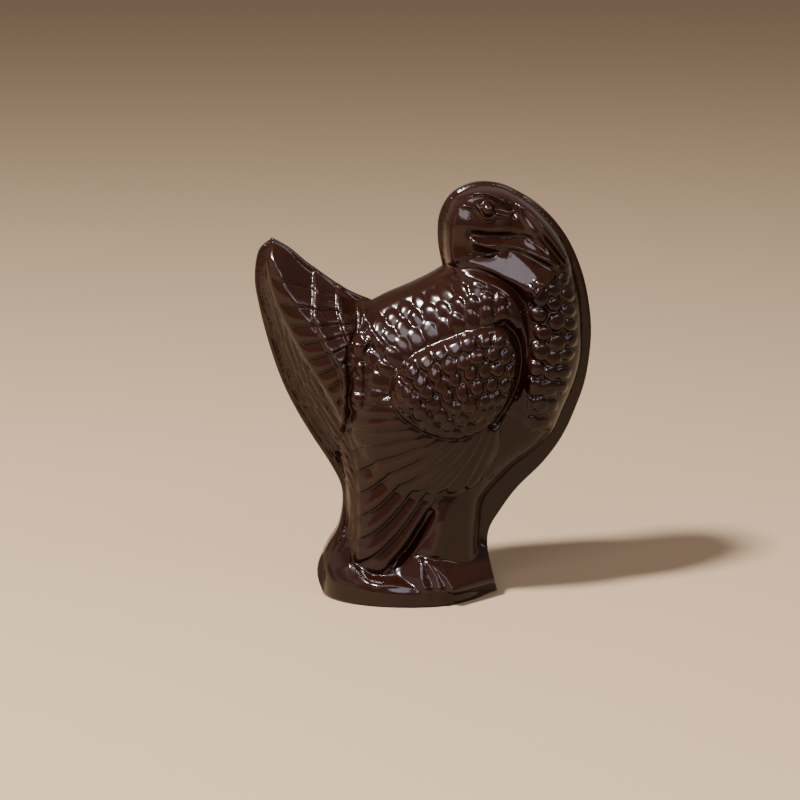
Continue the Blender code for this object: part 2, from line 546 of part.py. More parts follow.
def half_mesh(spacing):
    """One half's points and triangles in the side plane, the outline's points first."""
    loop = outline(spacing)
    row = spacing * math.sqrt(3) / 2
    low, high = loop.min(axis=0), loop.max(axis=0)
    points = []
    for j, z in enumerate(np.arange(low[1] + row / 2, high[1], row)):
        x = np.arange(low[0] + spacing * (0.25 + 0.5 * (j % 2)), high[0], spacing)
        keep = inside(x, np.full(x.shape, z), loop) > 0.5 * spacing
        points += [(px, z) for px in x[keep]]
    plane = np.concatenate([loop, points])
    edges = [(i, (i + 1) % len(loop)) for i in range(len(loop))]
    places, _, faces, _, _, _ = delaunay_2d_cdt([tuple(p) for p in plane], edges, [], 1, 1e-4)
    return np.array([tuple(p) for p in places]), [tuple(f) for f in faces], len(loop)


def closed_body(plane, faces, rim_count, h):
    """Both halves and the strip round their edge as one closed mesh, in metres."""
    middle = 0.5 * (plane[:, 0].min() + plane[:, 0].max())
    mesh = bmesh.new()
    near = [mesh.verts.new(((x - middle) * MM, -y * MM, z * MM)) for (x, z), y in zip(plane, h)]
    far = [mesh.verts.new(((x - middle) * MM, y * MM, z * MM)) for (x, z), y in zip(plane, h)]
    for face in faces:
        mesh.faces.new([near[i] for i in face])
        mesh.faces.new([far[i] for i in reversed(face)])
    for i in range(rim_count):
        j = (i + 1) % rim_count
        mesh.faces.new([near[j], near[i], far[i], far[j]])
    bmesh.ops.recalc_face_normals(mesh, faces=mesh.faces)
    bmesh.ops.triangulate(mesh, faces=mesh.faces)
    return mesh


def chocolate():
    """Dark chocolate with a gloss."""
    material = bpy.data.materials.new("dark_chocolate")
    material.use_nodes = True
    shader = material.node_tree.nodes["Principled BSDF"]
    shader.inputs["Base Color"].default_value = (*DARK_CHOCOLATE, 1)
    shader.inputs["Roughness"].default_value = 0.22
    shader.inputs["Metallic"].default_value = 0
    return material


def build_turkey():
    plane, faces, rim_count = half_mesh(SPACING)
    h = height(plane[:, 0], plane[:, 1])
    body = closed_body(plane, faces, rim_count, h)
    mesh = bpy.data.meshes.new("turkey")
    body.to_mesh(mesh)
    body.free()
    turkey = bpy.data.objects.new("turkey", mesh)
    bpy.context.scene.collection.objects.link(turkey)
    thin = turkey.modifiers.new("fewer_triangles", "DECIMATE")
    thin.ratio = TRIANGLES / len(mesh.polygons)
    thin.use_symmetry = True
    thin.symmetry_axis = "Y"
    turkey.data.materials.append(chocolate())
    return turkey


for old in list(bpy.data.objects):
    bpy.data.objects.remove(old, do_unlink=True)
build_turkey()
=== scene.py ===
import math

import bmesh
import bpy
import numpy as np
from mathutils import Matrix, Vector
from mathutils.geometry import delaunay_2d_cdt


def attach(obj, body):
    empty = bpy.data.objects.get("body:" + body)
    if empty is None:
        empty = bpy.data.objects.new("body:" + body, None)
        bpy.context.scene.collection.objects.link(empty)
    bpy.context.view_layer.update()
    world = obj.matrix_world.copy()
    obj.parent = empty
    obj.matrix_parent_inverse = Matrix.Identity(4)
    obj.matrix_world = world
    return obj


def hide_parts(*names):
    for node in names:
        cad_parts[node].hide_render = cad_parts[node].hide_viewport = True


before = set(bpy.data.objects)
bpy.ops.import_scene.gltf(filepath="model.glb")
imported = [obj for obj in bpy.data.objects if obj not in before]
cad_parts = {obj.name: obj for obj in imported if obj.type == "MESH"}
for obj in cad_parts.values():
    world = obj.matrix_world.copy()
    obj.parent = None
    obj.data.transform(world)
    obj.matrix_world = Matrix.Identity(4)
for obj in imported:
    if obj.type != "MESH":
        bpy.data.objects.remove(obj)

MM = 0.001

# Relief of one half of the turkey, in millimetres. X runs forward along the seam, Z up, and the
# relief height is measured out from the seam plane.
FLANGE = 1.0                 # half thickness of the flat rim round the outline
BASE_HALF_DEPTH = 19.5
TAIL_DEPTH = 15.5

# Corners of the side outline and the lines between them, each point as (x, z).
TAIL_TIP = (-45.9, 113.3)
NOTCH = (-15.2, 93.6)
NAPE = (6.6, 103.8)
TOE_CORNER = (24.2, 0.0)
HEEL_CORNER = (-30.8, 0.0)

TAIL_TOP = [TAIL_TIP, (-40.5, 110.2), (-34.3, 105.0), (-23.5, 97.4), NOTCH]
BACK = [NOTCH, (-10.5, 95.9), (-3.0, 98.9), (3.0, 101.7), NAPE]
HEAD_AND_BREAST = [
    NAPE, (5.2, 112.0), (5.6, 119.8), (8.9, 126.0), (14.6, 129.3), (20.6, 130.0), (27.4, 128.2),
    (36.8, 122.4), (44.4, 113.8), (49.4, 103.4), (52.1, 92.6), (53.0, 81.5), (51.5, 68.4),
    (48.2, 58.3), (44.2, 49.6), (38.4, 41.6), (30.2, 33.4), (24.9, 26.2), (21.5, 20.2),
    (21.0, 14.0), (22.3, 6.5), TOE_CORNER,
]
UNDERSIDE = [TOE_CORNER, HEEL_CORNER]
REAR = [
    HEEL_CORNER, (-32.6, 6.0), (-32.0, 10.8), (-29.5, 15.8), (-26.0, 21.6), (-24.6, 29.3),
    (-25.2, 35.6), (-28.6, 42.6), (-34.2, 51.5), (-39.2, 60.2), (-43.3, 69.0), (-47.0, 80.0),
    (-50.2, 93.0), (-51.3, 101.2), (-50.0, 109.4), TAIL_TIP,
]


def spline(points, step):
    """Vertices about every step from the second point up to the last but one, which is left out."""
    line = []
    for a, b, c, d in zip(points, points[1:], points[2:], points[3:]):
        count = max(1, round(math.dist(b, c) / step))
        for i in range(count):
            t = i / count
            line.append(0.5 * (2 * b + (c - a) * t + (2 * a - 5 * b + 4 * c - d) * t ** 2
                               + (3 * b - a - 3 * c + d) * t ** 3))
    return line


def smooth_line(points, step):
    """A smooth line through the points, with a vertex about every step."""
    p = [np.array(q, float) for q in points]
    p = [2 * p[0] - p[1]] + p + [2 * p[-1] - p[-2]]
    return np.array(spline(p, step) + [p[-2]])


def smooth_loop(points, step):
    """A smooth closed loop through the points, its last vertex next to the first."""
    p = [np.array(q, float) for q in points]
    return np.array(spline([p[-1]] + p + p[:2], step))


def outline(step):
    """The side outline as one closed loop of vertices."""
    parts = [TAIL_TOP, BACK, HEAD_AND_BREAST, UNDERSIDE, REAR]
    return np.concatenate([smooth_line(part, step)[:-1] for part in parts])


def from_line(x, z, line):
    """Distance to a line, the side (positive to its left) and the length along it, for each point."""
    best = np.full(x.shape, 1e9)
    side = np.ones(x.shape)
    along = np.zeros(x.shape)
    start = 0.0
    for (ax, az), (bx, bz) in zip(line[:-1], line[1:]):
        ux, uz = bx - ax, bz - az
        length = math.hypot(ux, uz)
        if length == 0.0:
            continue
        t = np.clip(((x - ax) * ux + (z - az) * uz) / length ** 2, 0, 1)
        d = np.hypot(x - ax - t * ux, z - az - t * uz)
        near = d < best
        best = np.where(near, d, best)
        cross = ux * (z - az) - uz * (x - ax)
        side = np.where(near, np.where(cross >= 0, 1.0, -1.0), side)
        along = np.where(near, start + t * length, along)
        start += length
    return best, side, along


def inside(x, z, loop):
    """How far inside a closed loop each point lies, negative outside."""
    best = np.full(x.shape, 1e9)
    within = np.zeros(x.shape, bool)
    for (ax, az), (bx, bz) in zip(loop, np.roll(loop, -1, axis=0)):
        ux, uz = bx - ax, bz - az
        square = ux ** 2 + uz ** 2
        if square == 0.0:
            continue
        t = np.clip(((x - ax) * ux + (z - az) * uz) / square, 0, 1)
        best = np.minimum(best, np.hypot(x - ax - t * ux, z - az - t * uz))
        if az != bz:
            crosses = (az > z) != (bz > z)
            within ^= crosses & (x < ax + (z - az) * ux / uz)
    return np.where(within, best, -best)


def step_up(d, width):
    """A soft step from 0 to 1 across the given width."""
    t = np.clip(d / width + 0.5, 0, 1)
    return t * t * (3 - 2 * t)


def crest(d, width):
    """A rounded crest, 1 at d = 0, that fades within about twice the width."""
    return np.exp(-(d / width) ** 2)


def pillow(d, width, power=2.0):
    """A domed edge: 0 at the border, 1 at the given width inside it."""
    t = np.clip(d / width, 0, 1)
    return (1 - (1 - t) ** power) ** (1 / power)


def blend_max(a, b, k):
    """The larger of two heights, with the crease between them rounded over k."""
    h = np.clip(0.5 + 0.5 * (a - b) / k, 0, 1)
    return b + (a - b) * h + k * h * (1 - h)


# Loops round the whole figure without its tail, and round the domed part of the body.
MASS = [
    (-19.5, 93.0), (-15.2, 92.6), (-10.5, 94.8), (-3.0, 97.9), (3.0, 100.7), (7.6, 103.6), (6.9, 107.0),
    (6.4, 112.0), (6.8, 119.5), (9.8, 125.4), (15.0, 128.5), (20.6, 129.1), (26.9, 127.4),
    (35.6, 121.4), (42.6, 113.0), (46.8, 103.0), (49.2, 93.0), (50.0, 82.0), (49.8, 75.0), (48.1, 67.7),
    (44.6, 58.9), (41.0, 51.3), (34.6, 44.9), (28.5, 40.0), (24.0, 35.4), (19.8, 30.0), (18.6, 23.0),
    (18.3, 14.0), (19.0, 6.0), (14.0, -12.0), (-12.0, -12.0), (-19.0, 4.0), (-23.4, 14.0),
    (-23.6, 24.0), (-23.8, 34.0), (-25.6, 44.0), (-28.0, 54.0), (-27.4, 64.0), (-26.0, 74.0),
    (-24.6, 82.0), (-22.0, 88.0),
]
BODY = [
    (-20.0, 84.0), (-17.0, 90.0), (-10.0, 94.5), (-2.0, 98.0), (5.0, 101.6), (12.0, 103.6),
    (18.0, 102.8), (23.2, 100.5), (27.2, 97.0), (29.8, 92.0), (31.6, 85.0), (31.2, 76.0), (30.0, 70.0),
    (27.6, 63.0), (24.0, 55.0), (22.0, 46.0), (14.0, 36.0), (0.0, 33.0), (-12.0, 38.0), (-20.0, 48.0),
    (-23.5, 60.0), (-23.0, 72.0),
]
BODY_RISE = 11.6
BODY_DOME = 4.2

# The tail: its crest, the starts of its second and third row of feathers, and its root.
TAIL_RIM = [
    (-46.2, 112.8), (-47.8, 108.0), (-47.4, 102.0), (-46.0, 96.5), (-44.0, 91.5), (-41.2, 86.0),
    (-37.8, 79.5), (-34.2, 73.5), (-30.4, 67.5), (-27.4, 62.0), (-24.6, 55.0), (-21.9, 47.0),
    (-20.8, 38.0), (-20.6, 28.0), (-20.8, 18.0), (-23.0, 10.0),
]
ROW_TWO = [
    (-33.2, 106.0), (-33.6, 101.0), (-34.0, 95.2), (-34.4, 91.4), (-33.6, 88.5), (-32.0, 84.4),
    (-30.0, 80.0), (-27.4, 76.2), (-25.7, 71.0), (-25.4, 64.0),
]
ROW_THREE = [
    (-25.6, 101.5), (-26.5, 96.4), (-26.7, 92.7), (-26.0, 89.3), (-24.9, 85.4), (-23.4, 81.4),
    (-23.0, 77.0),
]
TAIL_ROOT = [
    (-16.5, 95.0), (-18.2, 91.0), (-19.6, 86.8), (-21.5, 84.3), (-23.2, 80.6), (-23.7, 76.5),
    (-23.4, 72.0), (-23.8, 66.0), (-24.6, 60.0),
]
CREST_RISE = 1.9
FAN_DROP = 2.6               # of the first row of feathers, from the crest to the second row
TAIL_ROWS = [                # start, step up, drop behind the step and width of the drop
    (ROW_TWO, 2.6, 2.0, 8.0),
    (ROW_THREE, 2.4, 3.0, 6.0),
]
FAN_POLE = (-5.0, 88.0)      # the point that the tail feathers spread from
FEATHER_ANGLE = 9.6          # degrees from one tail feather to the next

# The body round the wing, and the wing's border.
SHOULDER = [
    (-14.0, 93.6), (-8.0, 96.2), (-2.0, 98.7), (3.0, 100.8), (8.0, 102.5), (12.5, 102.9), (16.0, 102.2),
    (20.0, 100.8), (23.2, 99.2), (26.0, 96.7), (28.0, 93.3), (29.8, 88.4), (31.4, 82.4), (31.9, 77.0),
    (30.8, 71.0), (28.8, 65.0), (26.4, 59.5),
]
NECK_VALLEY = [
    (5.2, 104.4), (9.0, 105.0), (12.5, 104.9), (16.5, 104.2), (20.5, 102.9), (24.0, 101.0),
    (27.0, 98.7), (29.6, 95.6), (31.4, 92.0), (32.6, 87.0),
]
WING_RIDGE = [
    (-11.0, 71.4), (-9.0, 75.0), (-4.0, 79.4), (1.5, 82.4), (7.5, 85.0), (13.5, 87.1), (19.0, 88.1),
    (23.6, 87.4),
]
WING_FRONT = [(23.6, 87.4), (26.9, 83.3), (28.2, 77.8), (27.6, 70.8), (25.1, 64.3), (21.1, 58.3)]
WING_FOOT = [
    (21.1, 58.3), (15.6, 54.4), (8.6, 53.0), (1.6, 54.4), (-3.9, 57.4), (-8.4, 61.3), (-11.0, 66.3),
    (-11.0, 71.4),
]
WING_STEP = 1.4
WING_DOME = 1.7
SCALE_PITCH = 4.4            # between scales of one row, on the body and on the wing
BODY_SCALE_WIDTH = 2.6       # half width of a scale on the body
WING_SCALE = (2.2, 2.7)      # half width and half length of a scale on the wing
BODY_ROWS = [                # distance from the wing, half length and rise of each row of scales
    (3.2, 3.8, 1.8), (7.6, 3.6, 2.2), (11.4, 3.2, 2.0), (15.0, 3.0, 1.7), (18.6, 3.0, 1.5),
    (22.2, 3.0, 1.4), (25.8, 3.0, 1.3),
]
WING_ROWS = [1.9, 2.1, 2.1, 2.0, 1.8, 1.6, 1.4, 1.2]     # rise of each row, from the ridge down

# The feathers below the wing: a short row, over long ones.
FLANK_TOP = [(-26.0, 61.6), (-20.0, 63.6), (-14.0, 65.8), (-10.8, 67.0)]
SHORT_POLE = (23.0, 73.5)    # the point that the short feathers spread from
SHORT_ANGLE = 6.8            # degrees from one short feather to the next
SHORT_EDGE = [
    (-25.5, 61.0), (-22.9, 55.3), (-18.8, 50.1), (-15.0, 44.9), (-10.2, 40.5), (-4.8, 37.5),
    (0.3, 36.1), (5.8, 35.9), (10.8, 36.5), (15.8, 37.3), (24.0, 42.0),
]
LONG_PITCH = 7.4             # from one long feather to the next

# The head and neck.
EYE = (19.3, 123.3)
EYE_RISE = 2.4
EYE_RADIUS = 2.1
SOCKET_DEPTH = 1.1
SOCKET = [
    (10.2, 125.3), (13.8, 127.0), (18.2, 127.5), (21.4, 126.6), (24.2, 124.8), (26.6, 124.4),
    (27.3, 122.6), (25.6, 121.6), (23.6, 122.0), (22.0, 122.5), (21.3, 121.4), (19.4, 120.7),
    (17.4, 121.1), (16.1, 122.5), (15.2, 123.9), (12.4, 124.4),
]
UPPER_LID = [
    (9.8, 125.2), (11.6, 126.6), (13.8, 127.5), (18.2, 128.0), (20.6, 127.4), (22.9, 126.2),
    (24.6, 124.4),
]
LOWER_LID = [
    (10.6, 124.9), (13.0, 124.3), (15.5, 123.9), (16.4, 122.1), (18.2, 120.7), (20.0, 120.6),
    (21.8, 122.0), (24.2, 121.5), (26.2, 121.1),
]
CHEEK = [
    (10.4, 124.0), (13.2, 123.2), (15.2, 122.3), (16.2, 120.8), (18.0, 119.6), (20.2, 119.4),
    (21.8, 120.4), (24.4, 120.2),
]
CHEEK_ROLL = [(8.5, 118.5), (13.0, 118.6), (20.0, 118.2), (26.5, 117.8)]
BROW_END = [(27.6, 127.0), (28.0, 124.6), (27.8, 122.2), (26.8, 120.6)]
MOUTH = [(12.6, 116.3), (15.2, 115.5), (19.0, 114.9), (24.0, 114.7), (28.3, 114.4), (33.0, 113.4)]
LIP = [
    (14.0, 114.5), (16.4, 113.2), (19.4, 112.5), (23.2, 112.2), (27.7, 111.6), (30.6, 110.6),
    (34.5, 109.1), (37.4, 107.6), (41.3, 105.6),
]
JOWL = [(14.2, 114.2), (15.8, 113.0), (19.4, 111.6), (22.3, 110.7), (25.5, 110.0)]
CREASE = [(13.0, 110.6), (16.0, 109.6), (19.5, 109.5), (23.0, 110.0)]
NECK = [
    (9.0, 106.6), (13.5, 108.4), (18.0, 108.8), (23.0, 110.2), (28.5, 110.3), (34.0, 108.0),
    (38.6, 105.0), (39.6, 102.4), (36.6, 100.2), (33.6, 97.6), (31.4, 95.2), (28.4, 97.9),
    (24.6, 101.4), (20.6, 103.6), (14.0, 105.4),
]
NECK_TURN = [(25.5, 110.6), (28.9, 108.4), (32.4, 105.2), (36.2, 100.0)]
SNOOD = [
    (28.4, 125.8), (31.4, 123.0), (35.0, 119.2), (37.4, 115.7), (40.4, 111.8), (43.4, 107.6),
    (46.0, 103.0),
]
SNOOD_SIDE = [(34.6, 115.4), (37.2, 112.2), (40.4, 108.4), (43.4, 104.8)]
BEAK_EDGE = [(28.4, 125.8), (29.2, 122.4), (30.8, 119.4), (33.6, 115.5)]
HEAD_LINES = [               # line, width to its left and right, height, taper at its start and end
    (UPPER_LID, 2.2, 0.35, 1.0, 2, 2),
    (LOWER_LID, 0.55, 0.55, 0.8, 2, 2),
    (CHEEK, 0.6, 2.2, -0.45, 2, 3),
    (CHEEK_ROLL, 3.6, 3.6, 0.8, 5, 3),
    (BROW_END, 0.9, 0.9, -1.1, 1, 1),
    (MOUTH, 1.4, 1.2, -1.3, 4, 8),
    (LIP, 0.9, 1.3, 1.2, 3, 2),
    (JOWL, 0.8, 1.4, 0.8, 2, 3),
    (CREASE, 1.3, 1.3, -1.1, 4, 4),
    (SNOOD, 1.6, 1.0, 1.3, 1, 6),
    (SNOOD_SIDE, 1.0, 1.0, -1.2, 3, 3),
    (BEAK_EDGE, 0.7, 0.7, 0.7, 2, 2),
]

# The foot's toes and the fold that runs along the base's ledge.
TOES = [[(-1.0, 13.2), (-1.3, 9.0), (0.0, 5.6)], [(0.8, 13.4), (3.4, 9.6), (4.3, 5.4)],
        [(2.2, 12.8), (6.4, 9.2), (8.4, 5.6)]]
LEDGE = [(-22.3, 11.8), (-19.5, 9.8), (-16.0, 7.6), (-12.5, 7.4), (-8.0, 8.6), (-3.6, 10.3)]
LEDGE_FOOT = [(-21.4, 8.8), (-16.0, 6.9), (-11.0, 7.2), (-3.2, 6.2)]

# Each bump of the breast: its place (x, z) and its half length.
BREAST_BUMPS = [
    (31.9, 99.4, 1.4), (34.3, 100.7, 1.6), (37.6, 100.9, 1.4), (39.6, 98.3, 2.3), (34.9, 96.0, 2.9),
    (44.2, 96.6, 2.2), (42.8, 101.2, 1.8), (40.0, 93.6, 2.6), (34.5, 90.9, 2.9), (44.8, 91.8, 2.2),
    (40.7, 88.5, 2.9), (35.8, 85.8, 2.9), (45.0, 87.2, 2.2), (40.4, 82.6, 3.0), (45.4, 82.4, 2.3),
    (35.0, 79.6, 3.0), (39.6, 77.3, 2.6), (43.8, 78.0, 2.4), (34.0, 74.2, 2.3), (38.6, 72.4, 2.6),
    (42.8, 72.8, 2.4), (33.4, 68.4, 3.0), (38.3, 67.6, 2.8), (42.2, 66.9, 2.2), (31.0, 62.8, 2.6),
    (35.8, 62.6, 2.8), (39.8, 61.8, 2.2), (28.6, 57.6, 2.4), (33.0, 57.0, 2.6), (37.0, 56.4, 2.2),
]


def base_half_depth(x):
    """Half depth of the base at the floor for each x: a pointed oval, round at the back."""
    t = np.clip((x - HEEL_CORNER[0]) / (TOE_CORNER[0] - HEEL_CORNER[0]), 0, 1)
    back = np.sqrt(1 - (1 - np.minimum(t / 0.52, 1)) ** 2)
    front = 1 - np.clip((t - 0.52) / 0.48, 0, 1) ** 2.4
    return BASE_HALF_DEPTH * back * front


def flare(z, reach):
    """1 at the floor, easing to 0 over the reach."""
    return 0.5 + 0.5 * np.cos(math.pi * np.clip((z - 3) / reach, 0, 1))


def base_relief(x, z):
    """The base: a rounded ledge below the feathers that flares smoothly into the figure at both ends."""
    heel, toe = np.clip((-17 - x) / 6, 0, 1), np.clip((x - 8) / 6, 0, 1)
    top = np.interp(x, [-22, -16.5, -3, 4, 12], [11.6, 10.2, 10, 11.5, 13])
    rear = 0.75 * flare(z, 33) + 0.25 * step_up(8.5 - z, 6)
    shape = (1 - heel - toe) * pillow(top - z, 6.0, 2.0) + heel * rear + toe * flare(z, 17)
    edge_round = 0.7 * np.clip(1 - z / 0.9, 0, 1) ** 2
    return (base_half_depth(x) - edge_round) * shape


def ahead_of(x, z, line):
    """Signed distance from a line, positive on its left as it runs."""
    d, side, _ = from_line(x, z, smooth_line(line, 1.5))
    return d * side


def shelf(x, z, points, left, right, amount, taper):
    """A ridge, or a groove where the amount is negative, with a width for each side of its line."""
    line = smooth_line(points, 1.0)
    reach = 3 * max(left, right)
    low, high = line.min(axis=0) - reach, line.max(axis=0) + reach
    near = (x > low[0]) & (x < high[0]) & (z > low[1]) & (z < high[1])
    d, side, along = from_line(x[near], z[near], line)
    total = np.hypot(*np.diff(line, axis=0).T).sum()
    fade = np.clip(along / taper[0], 0, 1) * np.clip((total - along) / taper[1], 0, 1)
    out = np.zeros(x.shape)
    out[near] = amount * np.where(side > 0, crest(d, left), crest(d, right)) * np.sqrt(fade)
    return out


def stroke(x, z, points, width, amount, taper):
    """A ridge or groove with the same width on both sides of its line."""
    return shelf(x, z, points, width, width, amount, taper)


def patch(x, z, loop, soft):
    """1 inside a closed loop and 0 outside, with a soft border."""
    loop = smooth_loop(loop, 1.0)
    low, high = loop.min(axis=0) - soft, loop.max(axis=0) + soft
    near = (x > low[0]) & (x < high[0]) & (z > low[1]) & (z < high[1])
    out = np.zeros(x.shape)
    out[near] = step_up(inside(x[near], z[near], loop), soft)
    return out


def vane(t, edge):
    """Height across one feather, t from 0 at the edge under its neighbour to 1 at its free edge."""
    return np.sin(0.5 * math.pi * np.clip(1.3 * t, 0, 1)) * np.clip(edge * (1 - t), 0, 1)


def strands(rear, down):
    """Fine, slightly crossing strands that run down the tail's rear face."""
    bend = 0.35 * np.sin(0.17 * down) + 0.15 * np.sin(0.41 * down + 1.0)
    one = np.abs(np.sin(math.pi * (rear / 1.5 + bend)))
    two = np.abs(np.sin(math.pi * (rear / 2.1 - 0.03 * down - bend)))
    return 1.2 * (np.sqrt(one) * (0.45 + 0.55 * two) - 0.5)


def tail_relief(x, z, rim):
    """The fan's rear face up to its crest, its three rows of feathers, and the strands behind."""
    fan = FLANGE + (TAIL_DEPTH - FLANGE) * pillow(rim - 0.8, 21, 1.5)
    front, side, down = from_line(x, z, smooth_line(TAIL_RIM, 1.5))
    rear, _, _ = from_line(x, z, smooth_line(REAR, 1.5))
    ahead = front * side
    across = rear / np.maximum(rear + front, 1e-6)
    crest_step = CREST_RISE * step_up(ahead + 0.1, 1.8)
    face = fan - 1.2 + crest_step - FAN_DROP * np.clip((ahead - 0.6) / 11, 0, 1)
    for line, rise, drop, width in TAIL_ROWS:
        past = ahead_of(x, z, line)
        face += rise * pillow(past, 1.7) - drop * np.clip((past - 0.6) / width, 0, 1)
    angle = np.degrees(np.arctan2(z - FAN_POLE[1], FAN_POLE[0] - x))
    t = np.mod(angle / FEATHER_ANGLE, 1)
    depth = np.clip(ahead - 0.9, 0, 1) * np.clip(rim / 8, 0.2, 1) * np.clip(1.2 - ahead / 25, 0.4, 1)
    face += (0.9 * vane(1 - t, 9) - 0.7) * depth
    back = (fan - 1.2) * pillow(across, 1.0, 1.6) + crest_step
    cover = np.clip(-ahead / 1.2, 0, 1) * np.clip(rear / 1.5, 0, 1) * np.clip((z - 14) / 8, 0, 1)
    return np.where(ahead < 0, back, face), ahead, strands(rear, down) * cover


def scales(x, z, places, tilt):
    """Overlapping plates (x, z, half width, half length, turn, rise): at each point the highest."""
    h = np.zeros(x.shape)
    for cx, cz, a, b, turn, rise in places:
        near = (np.abs(x - cx) < a + b) & (np.abs(z - cz) < a + b)
        dx, dz = x[near] - cx, z[near] - cz
        u = (dx * math.cos(turn) + dz * math.sin(turn)) / a
        v = (-dx * math.sin(turn) + dz * math.cos(turn)) / b
        plate = rise * (1 - abs(tilt) + tilt * v) * np.sqrt(np.clip(1 - (u * u + v * v) ** 1.6, 0, 1))
        h[near] = np.maximum(h[near], plate)
    return h


def uneven(places, seed, shift, spread):
    """The same scales, each a little moved and resized."""
    draw = np.random.default_rng(seed)
    out = []
    for cx, cz, a, b, turn, rise in places:
        size = 1 + spread * draw.uniform(-1, 1)
        x, z = cx + shift * draw.uniform(-1, 1), cz + shift * draw.uniform(-1, 1)
        length, lift = 1 + spread * draw.uniform(-1, 1), 1 + spread * draw.uniform(-1, 1)
        out.append((x, z, a * size, b * length, turn, rise * lift))
    return out


def beside(line, offset, pitch, start):
    """Points a pitch apart on a curve offset to the left of a line: (x, z, direction)."""
    t = np.gradient(line, axis=0)
    t /= np.hypot(t[:, 0], t[:, 1])[:, None]
    curve = line + offset * np.stack([-t[:, 1], t[:, 0]], 1)
    s = np.concatenate([[0], np.cumsum(np.hypot(*np.diff(curve, axis=0).T))])
    at = np.arange(start, s[-1], pitch)
    turn = np.interp(at, s, np.unwrap(np.arctan2(t[:, 1], t[:, 0])))
    return zip(np.interp(at, s, curve[:, 0]), np.interp(at, s, curve[:, 1]), turn)


def body_scales(x, z):
    """Rows of scales round the wing, out to the shoulder and the back."""
    guide = smooth_line([(-13.5, 57.0), (-12.4, 64.0)] + WING_RIDGE + [(27.5, 84.5)], 1.0)
    places = []
    for row, (offset, b, rise) in enumerate(BODY_ROWS):
        start = 1.0 + 0.5 * SCALE_PITCH * (row % 2)
        for cx, cz, turn in beside(guide, offset, SCALE_PITCH, start):
            places.append((cx, cz, BODY_SCALE_WIDTH, b, turn, rise))
    return scales(x, z, uneven(places, 3, 0.5, 0.16), 0.4)


def wing_scales(x, z):
    """Rows of scales that follow the wing's upper ridge."""
    ridge_x, ridge_z = np.array([(-16.0, 64.0), (-11.0, 71.0)] + WING_RIDGE[1:] + [(32.0, 86.0)]).T
    places = []
    for row, rise in enumerate(WING_ROWS):
        for cx in np.arange(-13.5 + 0.5 * SCALE_PITCH * (row % 2), 32, SCALE_PITCH):
            cz = np.interp(cx, ridge_x, ridge_z) - 3.2 - 4.6 * row
            slope = np.interp(cx + 1, ridge_x, ridge_z) - np.interp(cx - 1, ridge_x, ridge_z)
            places.append((cx, cz, *WING_SCALE, 0.3 * slope - 0.2, rise))
    return scales(x, z, uneven(places, 5, 0.45, 0.16), -0.3)


def breast_bumps(x, z):
    """Uneven bumps down the breast, lower and flatter towards the belly."""
    places = []
    for cx, cz, size in BREAST_BUMPS:
        places.append((cx, cz, 1.12 * size, size, -0.3, 0.75 * size * np.clip((cz - 46) / 28, 0.3, 1)))
    return scales(x, z, uneven(places, 9, 0.5, 0.15), -0.12)


def head_relief(x, z):
    """The eye in its socket, every line of the face, and three fine grooves on the beak."""
    h = -SOCKET_DEPTH * patch(x, z, SOCKET, 0.45)
    e = np.hypot(x - EYE[0], z - EYE[1])
    h += EYE_RISE * np.sqrt(np.clip(1 - (e / EYE_RADIUS) ** 2, 0, 1))
    for line, left, right, rise, start, end in HEAD_LINES:
        h += shelf(x, z, line, left, right, rise, (start, end))
    for k in range(3):
        groove = [(29.5 + k, 115.4 - k), (33.5 + 0.6 * k, 113.6 - k), (37.0 + 0.3 * k, 110.6 - 0.8 * k)]
        h += stroke(x, z, groove, 0.5, -0.5, (3, 3))
    return h


def neck_roll(x, z):
    """The neck: a broad facet that widens out towards the breast and turns away above and below."""
    facet = 14.4 + 0.15 * (x - 24) - 0.46 * (z - 106)
    facet = -blend_max(-facet, -18.6, 1.5)
    facet -= 0.75 * np.clip(ahead_of(x, z, NECK_TURN), 0, 20)
    valley = np.clip(ahead_of(x, z, NECK_VALLEY), 0, 30)
    under = np.interp(x, [10, 24], [8.8, 13.8]) + 1.7 * valley - 0.05 * valley ** 2
    return -blend_max(-facet, -under, 1.6)


def flight_feathers(x, z, wing, ahead):
    """Short feathers fanned below the wing, over long ones that slant down to the base."""
    dx, dz = SHORT_POLE[0] - x, SHORT_POLE[1] - z
    angle = np.degrees(np.arctan2(dz, dx)) + 0.45 * (np.hypot(dx, dz) - 30)
    t = np.mod((angle - 37.0) / SHORT_ANGLE, 1)
    over = step_up(ahead_of(x, z, SHORT_EDGE) + 1.5 * np.sin(math.pi * t) - 0.5, 1.2)
    fade = np.clip((24 - x) / 10, 0, 1)
    short = over * (0.7 + 0.65 * vane(t, 6)) * fade
    level = z - 0.5 * (x + 20) - 0.03 * (x + 20) ** 2
    t = np.mod((level - 12.2) / LONG_PITCH, 1)
    long = (1 - over) * 1.1 * vane(1 - t, 7) * step_up(level - 3, 2.0) * step_up(z - 9, 4) * fade
    below = step_up(-ahead_of(x, z, FLANK_TOP), 1.0) * step_up(-wing - 0.2, 0.8) * (z < 68)
    return (short + long) * below * step_up(ahead - 0.4, 1.4)


def leg(x, z):
    """The leg and the deep valley between it and the long feathers."""
    h = stroke(x, z, [(-10.5, 10.9), (-5.9, 15.5), (-0.5, 24.1), (2.5, 30.0)], 1.5, -3.4, (4, 8))
    h += stroke(x, z, [(6.5, 34.0), (5.0, 24.0), (2.0, 13.0)], 3.0, 2.2, (8, 3))
    return h


def foot(x, z):
    """The foot: it slopes out from the leg to three toes, each a sharp ridge."""
    spread = np.full(x.shape, 99.0)
    for line in TOES:
        d, _, _ = from_line(x, z, np.array(line))
        spread = np.minimum(spread, d)
    return 20.6 - 0.72 * np.clip(z - 6.5, 0, 20) - 1.0 * np.clip(5 - z, 0, 9) - 0.85 * spread


